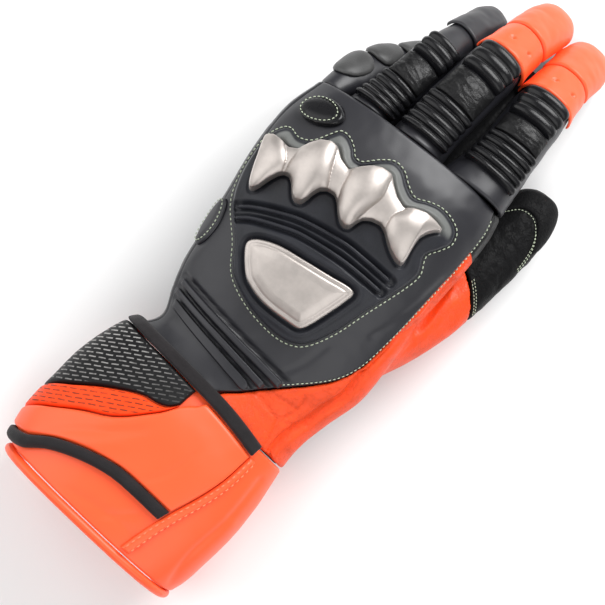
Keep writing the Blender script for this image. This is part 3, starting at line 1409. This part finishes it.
GUARD_FRONT = [
    (-41.7, 15.5), (-37.7, 16.7), (-33.0, 15.0), (-29.1, 13.1), (-24.7, 13.9), (-20.9, 17.8),
    (-16.9, 21.0), (-11.9, 22.2), (-8.3, 20.8), (-4.8, 16.2), (0, 13.1), (5.1, 16.5), (9.6, 18.8),
    (13.9, 19.5), (19.0, 18.5), (20.6, 15.5), (24.8, 10.0), (29.4, 6.9), (33.3, 8.4), (39.4, 8.9),
    (45.0, 7.3), (48.7, 5.6),
]
GUARD_BACK = [
    (-41.7, 12.0), (-41.2, 6.0), (-40.6, -1.5), (-40.1, -8.0), (-38.8, -10.8), (-36.9, -11.2),
    (-34.6, -9.0), (-31.5, -4.4), (-28.5, -1.0), (-26.1, 0.4), (-23.6, 0.2), (-21.6, -2.0),
    (-20.2, -5.2), (-18.6, -8.2), (-16.4, -9.7), (-14.0, -9.4), (-12.2, -7.5), (-10.6, -4.0),
    (-8.3, -1.0), (-5.0, 0.4), (-1.2, -0.4), (1.0, -3.0), (3.2, -7.4), (5.4, -10.6), (7.9, -12.0),
    (10.4, -11.6), (12.2, -8.6), (14.4, -5.8), (18.0, -4.5), (22.6, -4.7), (25.4, -6.6), (28.2, -10.4),
    (31.4, -13.9), (35.0, -16.6), (37.6, -17.4), (39.2, -16.4), (39.4, -12.9), (39.6, -8.6),
    (40.9, -3.0), (43.3, 0.2), (46.0, 2.4), (48.7, 3.6),
]
BASE_EDGE = [
    (-45.6, -18.1), (-37.3, -35.2), (-31.9, -49.1), (-21.8, -58.7), (-9.0, -65.6), (2.2, -68.7),
    (11.8, -67.1), (22.4, -57.3), (31.8, -43.6), (44.2, -25.2), (48.4, -16.6), (47.6, -8.0),
    (52.5, -2.6), (56.3, 2.1), (56.1, 8.2), (51.8, 12.4), (45.8, 15.0), (39.4, 15.1), (32.7, 14.3),
    (28.1, 17.8), (23.3, 23.7), (17.7, 26.1), (10.8, 23.8), (3.8, 20.0), (0.3, 20.9), (-2.0, 24.8),
    (-6.1, 28.9), (-10.4, 30.0), (-14.0, 27.2), (-20.8, 21.2), (-27.5, 20.3), (-32.7, 23.5),
    (-36.5, 23.0), (-41.6, 18.1), (-45.5, 8.0), (-47.2, -5.0),
]
PLATE_EDGE = [
    (-29.8, -32.9), (-25.8, -30.4), (-16.1, -29.6), (-3.4, -31.3), (10.4, -33.4), (20.9, -34.8),
    (23.5, -36.6), (22.2, -40.1), (16.2, -49.4), (9.9, -58.0), (6.8, -60.2), (2.7, -59.9),
    (-13.2, -55.6), (-22.7, -49.7), (-26.1, -45.1), (-29.7, -36.7),
]
RIDGE_LINES = [
    ("protector_rib_fore", [
        (-41.0, -19.6), (-34.0, -17.6), (-20.0, -15.8), (-10.2, -15.4), (10.6, -17.7), (21.9, -20.7),
        (36.5, -25.2),
    ]),
    ("protector_rib_aft", [
        (-40.0, -24.8), (-33.0, -22.6), (-18.0, -21.4), (-8.1, -21.4), (13.5, -25.0), (34.5, -31.0),
    ]),
]
# Each knuckle's left and right limits across the guard, as (v, u) rows
KNUCKLES = [
    ([(-12, -48), (20, -47)], [(-2, -27.1), (3.7, -27.1), (9.3, -28.7), (13.2, -31.2)]),
    ([(-2, -26.2), (6, -25.6), (12, -24.0)], [(-3, -4.5), (3, -5.5), (8.2, -6.6), (19, -8.2)]),
    ([(-2, 1.0), (4, 0.5), (11, 1.2)], [(-6, 12.7), (-0.5, 15.5), (5.3, 18.6), (10.7, 19.1), (16, 19.2)]),
    ([(-7.6, 25.0), (-4, 25.2), (0.5, 26.1), (5.4, 30.2)], [(-16, 50), (8, 51)]),
]
# The height of the saddles between the knuckles, as a share of the domes
SADDLE = 0.55
GUARD_LEFT = -41.7
GUARD_WIDTH = 90.4


class GAUNTLET_OT_armour(bpy.types.Operator):
    """Add the moulded protector base with its ridges, the knuckle guard and the metacarpal plate."""

    bl_idname = "gauntlet.armour"
    bl_label = "Back armour"

    def execute(self, context):
        plate_line = through(PLATE_EDGE, 1.0, True)
        guard_line = np.vstack([through(GUARD_FRONT, 1.0), through(GUARD_BACK, 1.0)[::-1]])
        ridge_lines = [through(line, 1.5) for _, line in RIDGE_LINES]

        def sculpted(under, u, v, edge):
            plan = np.stack([u, v], -1)
            to_plate = from_segments(plan, plate_line)
            to_guard = from_segments(plan, guard_line)
            fore = smooth_step(4, 8, v + 0.08 * u)
            lift = 0.35 * smooth_step(2.0, 5.0, edge) - 0.25
            lift += fore * (1.7 * smooth_step(0.6, 5.0, edge) - 1.1)
            lift -= 1.7 * np.exp(-((to_plate / 1.5) ** 2))
            lift += 0.5 * np.exp(-(((to_plate - 3.4) / 1.1) ** 2))
            lift -= 1.1 * np.exp(-((to_guard / 1.0) ** 2))
            for line in ridge_lines:
                lift -= 2.4 * np.exp(-((from_segments(plan, line, False) / 2.5) ** 4))
            return lift + noise(under, 16, 81) * 0.12

        way = np.array([0.0, -20.0]) - BASE_EDGE
        inner = BASE_EDGE + way / np.linalg.norm(way, axis=1, keepdims=True) * 1.7
        shape = disc(on_armour, inner, (0.0, -22.0), LAY_GAP, BASE_THICKNESS, 1.2, sculpted, 0.55)
        rubber = material("moulded_base")
        make_piece("protector_base_moulding", shape, rubber, ["protector_base"])
        lift = LAY_GAP * 2 + BASE_THICKNESS
        for name, line in RIDGE_LINES:
            plan = through(line, 0.8)
            across = (stops(1.9, 0.25, 0.5) - 0.5) * 1.9
            way = np.gradient(plan, axis=0)
            way /= np.linalg.norm(way, axis=1, keepdims=True)
            side = np.stack([-way[:, 1], way[:, 0]], -1)
            run = np.linspace(0, 1, len(plan))
            narrow = np.sqrt(1 - np.clip((np.abs(run - 0.5) - 0.46) / 0.04, 0, 1) ** 2)
            narrow = np.maximum(narrow, 0.05)
            grid = plan[:, None] + side[:, None] * across[None, :, None] * narrow[:, None, None]
            shape = lay(on_armour, grid[..., 0], grid[..., 1], lift - 2.2, 2.4, 0.9)
            make_piece(name + "_bead", shape, rubber, [name])
        self.guard(lift)
        self.plate(lift, plate_line)
        return {"FINISHED"}

    def guard(self, lift):
        """Four knuckle domes that meet in creases, over a thin bevelled rim."""
        front = np.asarray(GUARD_FRONT)
        back = np.asarray(GUARD_BACK)
        u = GUARD_LEFT + GUARD_WIDTH * stops(GUARD_WIDTH, 0.36, 1.0)[:, None]
        fore = np.interp(u, front[:, 0], front[:, 1])
        aft = np.interp(u, back[:, 0], back[:, 1])
        kernel = np.array([1, 2, 3, 2, 1]) / 9.0
        fore[2:-2, 0] = np.convolve(fore[:, 0], kernel, "valid")
        aft[2:-2, 0] = np.convolve(aft[:, 0], kernel, "valid")
        v = aft + (fore - aft) * stops(26, 0.4, 1.0)[None, :]
        u = np.broadcast_to(u, v.shape)
        rise = millimetres("guard_rise")
        plan = np.stack([u, v], -1)
        to_rim = from_segments(plan, np.vstack([plan[:, 0], plan[::-1, -1]]))
        lobes = SADDLE + 0 * u
        for left, right in KNUCKLES:
            low, high = curve(left)(v), curve(right)(v)
            x = np.clip((2 * u - low - high) / (high - low), -1, 1)
            lobes = np.maximum(lobes, SADDLE + (1 - SADDLE) * (1 - x * x) ** 0.5)
        height = 0.92 * rise * lobes * (film(u, v) / 10.5) ** 0.5

        def domed(under, across, along, edge):
            return height + 0.25 * np.minimum(to_rim, 1.0)

        shape = lay(on_armour, u, v, lift, 1.4, 0.8, domed)
        shape.edge[: u.size] = to_rim.reshape(-1)
        make_piece("knuckle_guard_metal", shape, material("metal"), ["knuckle_guard"])

    def plate(self, lift, plate_line):
        def crowned(under, u, v, edge):
            return 1.1 * smooth_step(1.0, 7.0, edge) - 0.35 * np.exp(-(((edge - 2.4) / 0.5) ** 2))

        shape = disc(on_armour, PLATE_EDGE, (-4.0, -43.0), lift, 1.7, 1.0, crowned, 0.5)
        make_piece("metacarpal_plate_metal", shape, material("metal"), ["metacarpal_plate"])


def film(u, v):
    """The height of a soap film blown up over a grid of plan points whose rim is held down."""
    plan = np.stack([u, v], -1)
    across = np.linalg.norm(plan[2:, 1:-1] - plan[:-2, 1:-1], axis=-1) / 2
    along = np.linalg.norm(plan[1:-1, 2:] - plan[1:-1, :-2], axis=-1) / 2
    wide, long = 1 / across**2, 1 / along**2
    height = np.zeros(u.shape)
    for _ in range(4000):
        sides = wide * (height[2:, 1:-1] + height[:-2, 1:-1]) + long * (height[1:-1, 2:] + height[1:-1, :-2])
        height[1:-1, 1:-1] = (sides + 1) / (2 * (wide + long))
    return np.sqrt(2 * height)


def ribbed(count, height, base):
    """Rolled ribs across a finger: each is a round roll with rounded ends, between narrow dark gaps."""
    def relief(under, across, along, edge):
        pitch = along.max(axis=1, keepdims=True) / count
        place = along / pitch
        inside = (place % 1.0 - 0.5) * 2
        ends = np.minimum(across, across[-1:] - across)
        roll = np.sqrt(np.clip(1 - inside**2, 0, 1))
        tip = np.sqrt(np.clip(1 - (1 - np.clip(ends / (pitch * 0.7), 0, 1)) ** 2, 0, 1))
        return height * roll * tip - base * (1 - roll) * 0.5

    return relief


# The webs between the fingers: the two fingers and how far along the first the web reaches
WEBS = [("little", "ring", 0.4), ("ring", "middle", 0.55), ("middle", "index", 0.62)]
# Where each finger's lower ribs start, as a share of its length
RIBS_FROM = {"index": 0.075, "middle": 0.03, "ring": 0.02}


class GAUNTLET_OT_fingers(bpy.types.Operator):
    """Add the four leather fingers, their flex ribs, crinkled pads, orange bands and caps."""

    bl_idname = "gauntlet.fingers"
    bl_label = "Fingers"

    def execute(self, context):
        black = material("black_leather")
        for seed, name in enumerate(FINGERS):
            form = digits[name]
            angle = np.arange(72) * 5.0
            share = np.concatenate([[0, 0.003, 0.008, 0.014], np.linspace(0.022, 1, 96)])[:, None]
            v = share * form.length
            skin = form.point(angle[None, :], v, 0)
            swell = noise(skin, 9, 90 + seed) * 0.35 + noise(skin, 4, 95 + seed) * 0.15
            rolled = 0.9 * (rolled_edge(v, 1.2) - 1)
            relief = swell * np.minimum(v / 5, 1) * (1 - share**4) * 0.7
            outer = form.point(angle[None, :], v, rolled + relief)
            inner = form.point(angle[None, :], np.minimum(v, form.length - DIGIT_WALL), -DIGIT_WALL)
            edges = np.concatenate([v[::-1] + 0 * angle, v + FAR_FROM_EDGE + 0 * angle])
            shape = tube(np.concatenate([outer[::-1], inner]), edge=edges)
            make_piece(name + "_finger_leather", shape, black, [name + "_finger"])
        for seed, name in enumerate(("ring", "middle", "index")):
            self.layers(name, digits[name], seed)
        for left, right, reach in WEBS:
            self.web(left, right, reach)
        return {"FINISHED"}

    def web(self, left, right, reach):
        """The leather that closes the gap between two fingers."""
        outer, inner = digits[left], digits[right]

        def between(u, v, lift):
            near, far = outer.point(90, v, -1.5), inner.point(-90, v, -1.5)
            place = near + (far - near) * u[..., None]
            place[..., 2] += lift - 3.0 - 2.5 * np.sin(np.pi * np.clip(u, 0, 1))
            return place

        u = stops(9, 0.8)[:, None]
        v = (0.01 + (reach - 0.01) * stops(reach * outer.length, 1.0)[None, :]) * outer.length

        def soft(under, across, along, edge):
            return noise(under, 6, 160) * 0.4

        shape = lay(between, *np.broadcast_arrays(u, v), 0.0, 3.0, 1.5, soft)
        make_piece(f"{left}_web_leather", shape, material("matt_black"))

    def layers(self, name, form, seed):
        def crinkled(under, across, along, edge):
            dome = 0.9 * smooth_step(0, 6, edge)
            way = np.stack([across * 0.22, along + 0.2 * across, 0 * along], -1)
            return dome + (crinkle(way, 1.7, 110 + seed) - 0.5) * 0.3 + 0.2 * noise(way, 3.5, 115 + seed)

        rib = millimetres("rib_height")
        low = RIBS_FROM[name]
        layers = [
            ("lower_ribs", low, low + 0.17, 52, 1.0, ribbed(5, rib - 0.4, 0.8), "flex_rib", 0.3),
            ("pad", low + 0.175, 0.335, 50, 1.2, crinkled, "crinkled_pad", 0.5),
            ("upper_ribs", 0.342, 0.478, 48, 1.0, ribbed(3, rib - 0.2, 0.6), "flex_rib", 0.3),
        ]
        for piece, low, high, wide, thickness, relief, finish, step in layers:
            u = -wide + 2 * wide * stops(24, step)[:, None]
            v = (low + (high - low) * stops((high - low) * form.length, step)[None, :]) * form.length
            shape = lay(form.point, u, v, LAY_GAP, thickness, 1.1, relief)
            node = f"{name}_{piece}"
            make_piece(node + "_moulded", shape, material(finish), [node])

        def soft(under, across, along, edge):
            return noise(under, 9, 120 + seed) * 0.35 + noise(under, 4, 121 + seed) * 0.12

        if name == "ring":
            tips = [("ring_tip_cap", 0.62, 0.94, 80, 1.4, soft, "black_leather")]
        else:
            def holed(under, across, along, edge):
                row = np.abs(along - along.max() * 0.42)
                column = np.abs(across - across.max() * 0.5)
                hole = np.exp(-((np.abs(column - 5.2) / 0.9) ** 4) - (row / 0.9) ** 4)
                return soft(under, across, along, edge) - 1.6 * hole

            tips = [
                (name + "_tip_band", 0.487, 0.65, 88, 1.3, holed, "orange_leather"),
                (name + "_tip_cap", 0.655, 0.96, 80, 1.8, soft, "orange_leather"),
            ]
        for node, low, high, wide, thickness, relief, finish in tips:
            u = -wide + 2 * wide * stops(38, 0.7)[:, None]
            v = (low + (high - low) * stops((high - low) * form.length, 0.7)[None, :]) * form.length
            shape = lay(form.point, u, v, LAY_GAP, thickness, 1.2, relief)
            make_piece(node + "_leather", shape, material(finish), [node])


# The middles of the two pads on the hand's outer side, as an angle and a way along the body
OUTER_SLIDER = (-40, 0.948 * BODY_LENGTH)
OUTER_PATCH = (-67, 0.648 * BODY_LENGTH)


def oval(centre, wide, tall, turn):
    """Points round an oval at the angles turn, with wide and tall as its half sizes."""
    return np.column_stack([centre[0] + wide * np.cos(turn), centre[1] + tall * np.sin(turn)])


class GAUNTLET_OT_sliders(bpy.types.Operator):
    """Add the sliders down the little finger and the padded patches on the hand's outer side."""

    bl_idname = "gauntlet.sliders"
    bl_label = "Sliders and patches"

    def execute(self, context):
        form = digits["little"]
        for k, (low, high) in enumerate(((0.06, 0.3), (0.33, 0.57), (0.6, 0.9))):
            middle, half = (low + high) / 2 * form.length, (high - low) / 2 * form.length
            turn = np.radians(np.arange(0, 360, 15))
            outline = np.column_stack(
                [
                    -38 + 48 * np.sign(np.cos(turn)) * np.abs(np.cos(turn)) ** 0.7,
                    middle + half * np.sign(np.sin(turn)) * np.abs(np.sin(turn)) ** 0.7,
                ]
            )

            def crinkled(under, u, v, edge, k=k):
                return 0.4 * smooth_step(0, 3, edge) + 0.15 * noise(under, 8, 130 + k)

            shape = disc(form.point, outline, (-38, middle), LAY_GAP, 1.4, 1.2, crinkled, 0.6, (0.16, 1.0))
            name = f"little_slider_{k + 1}"
            make_piece(name + "_pad", shape, material("slider"), [name])
        pads = [
            ("outer_knuckle_slider", OUTER_SLIDER, 15, 6.5, 2.6, "flex_rib"),
            ("outer_side_patch", OUTER_PATCH, 11, 13.5, 1.2, "black_leather"),
        ]
        for name, centre, wide, tall, thickness, finish in pads:
            outline = oval(centre, wide, tall, np.radians(np.arange(0, 360, 15)))

            def domed(under, u, v, edge):
                return 0.8 * smooth_step(0, 5, edge) - 0.4 * np.exp(-(((edge - 1.7) / 0.5) ** 2))

            shape = disc(on_body, outline, centre, LAY_GAP, thickness, 1.3, domed, 0.6, (0.8, 1.0))
            make_piece(name + "_pad", shape, material(finish), [name])
        return {"FINISHED"}


# Wrist ribs: half width, height and the middle line's (angle, along) rows.
WRIST_RIBS = [
    (2.6, 0.8, [(-60, 0.453), (-26, 0.438), (-6, 0.429), (2, 0.424), (8, 0.421)]),
    (2.0, 2.5, [(-60, 0.479), (-26, 0.463), (-6, 0.454), (6, 0.447), (14, 0.444)]),
    (2.0, 2.5, [(-58, 0.503), (-26, 0.486), (-6, 0.477), (6, 0.472), (21, 0.467)]),
]


class GAUNTLET_OT_wrist(bpy.types.Operator):
    """Add the padded flex ribs across the wrist."""

    bl_idname = "gauntlet.wrist"
    bl_label = "Wrist ribs"

    def execute(self, context):
        for k, (wide, tall, rows) in enumerate(WRIST_RIBS):
            first, last = rows[0][0], rows[-1][0]
            u = first + (last - first) * stops((last - first) * 0.9, 0.8)[:, None]
            ends = np.minimum(u - first, last - u) * 0.9
            half = wide * np.sqrt(1 - (1 - np.clip(ends / wide, 0, 1)) ** 2 * 0.96)
            v = curve(rows)(u) * BODY_LENGTH + half * (stops(2 * wide, 0.3, 0.5)[None, :] * 2 - 1)

            def rolled(under, across, along, edge, k=k, wide=wide, tall=tall):
                share = along / np.maximum(along[:, -1:], 1e-6)
                roll = np.sqrt(np.clip(1 - np.abs(share * 2 - 1) ** 2.2, 0, 1))
                round_end = smooth_step(0, 2.5, np.minimum(across, across[-1:] - across))
                return (tall - 0.4) * roll * round_end + 0.12 * noise(under, 7, 140 + k)

            shape = lay(on_body, u, v, 0.3, 0.7, 0.6, rolled)
            name = f"wrist_rib_{k + 1}"
            make_piece(name + "_pad", shape, material("black_leather"), [name])
        return {"FINISHED"}


class GAUNTLET_OT_stitching(bpy.types.Operator):
    """Add the stitching round the armour, along the seams and on the patches."""

    bl_idname = "gauntlet.stitching"
    bl_label = "Stitching"

    def execute(self, context):
        long, gap = millimetres("stitch"), millimetres("stitch_gap")
        base_line = through(BASE_EDGE, 1.0, True)
        way = np.array([0.0, -18.0]) - base_line
        inner = base_line + way / np.linalg.norm(way, axis=1, keepdims=True) * 0.5
        runs = [stitches(*on_surface(on_armour, np.vstack([inner, inner[:1]]), 0.35), long, gap, 0.3)]
        turn = np.linspace(0, 2 * np.pi, 90)
        for centre, wide, tall, height in ((OUTER_SLIDER, 12, 5.2, 3.6), (OUTER_PATCH, 9.3, 12, 2.3)):
            plan = oval(centre, wide, tall, turn)
            runs.append(stitches(*on_surface(on_body, plan, height), long * 0.8, gap, 0.26))
        make_piece("armour_stitches", Shape.together(runs), material("pale_thread"))
        v = np.linspace(0.47, 0.97, 160) * BODY_LENGTH
        plan = np.column_stack([back_edge(v / BODY_LENGTH) - 3.4, v])
        seam = stitches(*on_surface(on_body, plan, 0.4), long * 0.8, gap, 0.24)
        make_piece("back_seam_stitches", seam, material("pale_thread"))
        return {"FINISHED"}


OPERATORS = [
    GAUNTLET_OT_stage,
    GAUNTLET_OT_cuff,
    GAUNTLET_OT_flap,
    GAUNTLET_OT_hand,
    GAUNTLET_OT_thumb,
    GAUNTLET_OT_wrist,
    GAUNTLET_OT_armour,
    GAUNTLET_OT_fingers,
    GAUNTLET_OT_sliders,
    GAUNTLET_OT_stitching,
]


class GAUNTLET_PT_panel(bpy.types.Panel):
    """The gauntlet's colours, sizes and pieces."""

    bl_label = "Gauntlet"
    bl_idname = "GAUNTLET_PT_panel"
    bl_space_type = "VIEW_3D"
    bl_region_type = "UI"
    bl_category = "Gauntlet"

    def draw(self, context):
        layout = self.layout
        for settings in (context.scene.gauntlet_colours, context.scene.gauntlet_sizes):
            for name in settings.__annotations__:
                layout.prop(settings, name)
        for operator in OPERATORS:
            layout.operator(operator.bl_idname)


CLASSES = [GauntletColours, GauntletSizes, *OPERATORS, GAUNTLET_PT_panel]


def register():
    for item in CLASSES:
        bpy.utils.register_class(item)
    bpy.types.Scene.gauntlet_colours = bpy.props.PointerProperty(type=GauntletColours)
    bpy.types.Scene.gauntlet_sizes = bpy.props.PointerProperty(type=GauntletSizes)


def unregister():
    del bpy.types.Scene.gauntlet_sizes
    del bpy.types.Scene.gauntlet_colours
    for item in reversed(CLASSES):
        bpy.utils.unregister_class(item)


def main():
    register()
    bpy.ops.gauntlet.stage()
    bpy.ops.gauntlet.cuff()
    bpy.ops.gauntlet.flap()
    bpy.ops.gauntlet.hand()
    bpy.ops.gauntlet.thumb()
    bpy.ops.gauntlet.wrist()
    bpy.ops.gauntlet.armour()
    bpy.ops.gauntlet.fingers()
    bpy.ops.gauntlet.sliders()
    bpy.ops.gauntlet.stitching()


if __name__ == "__main__":
    main()
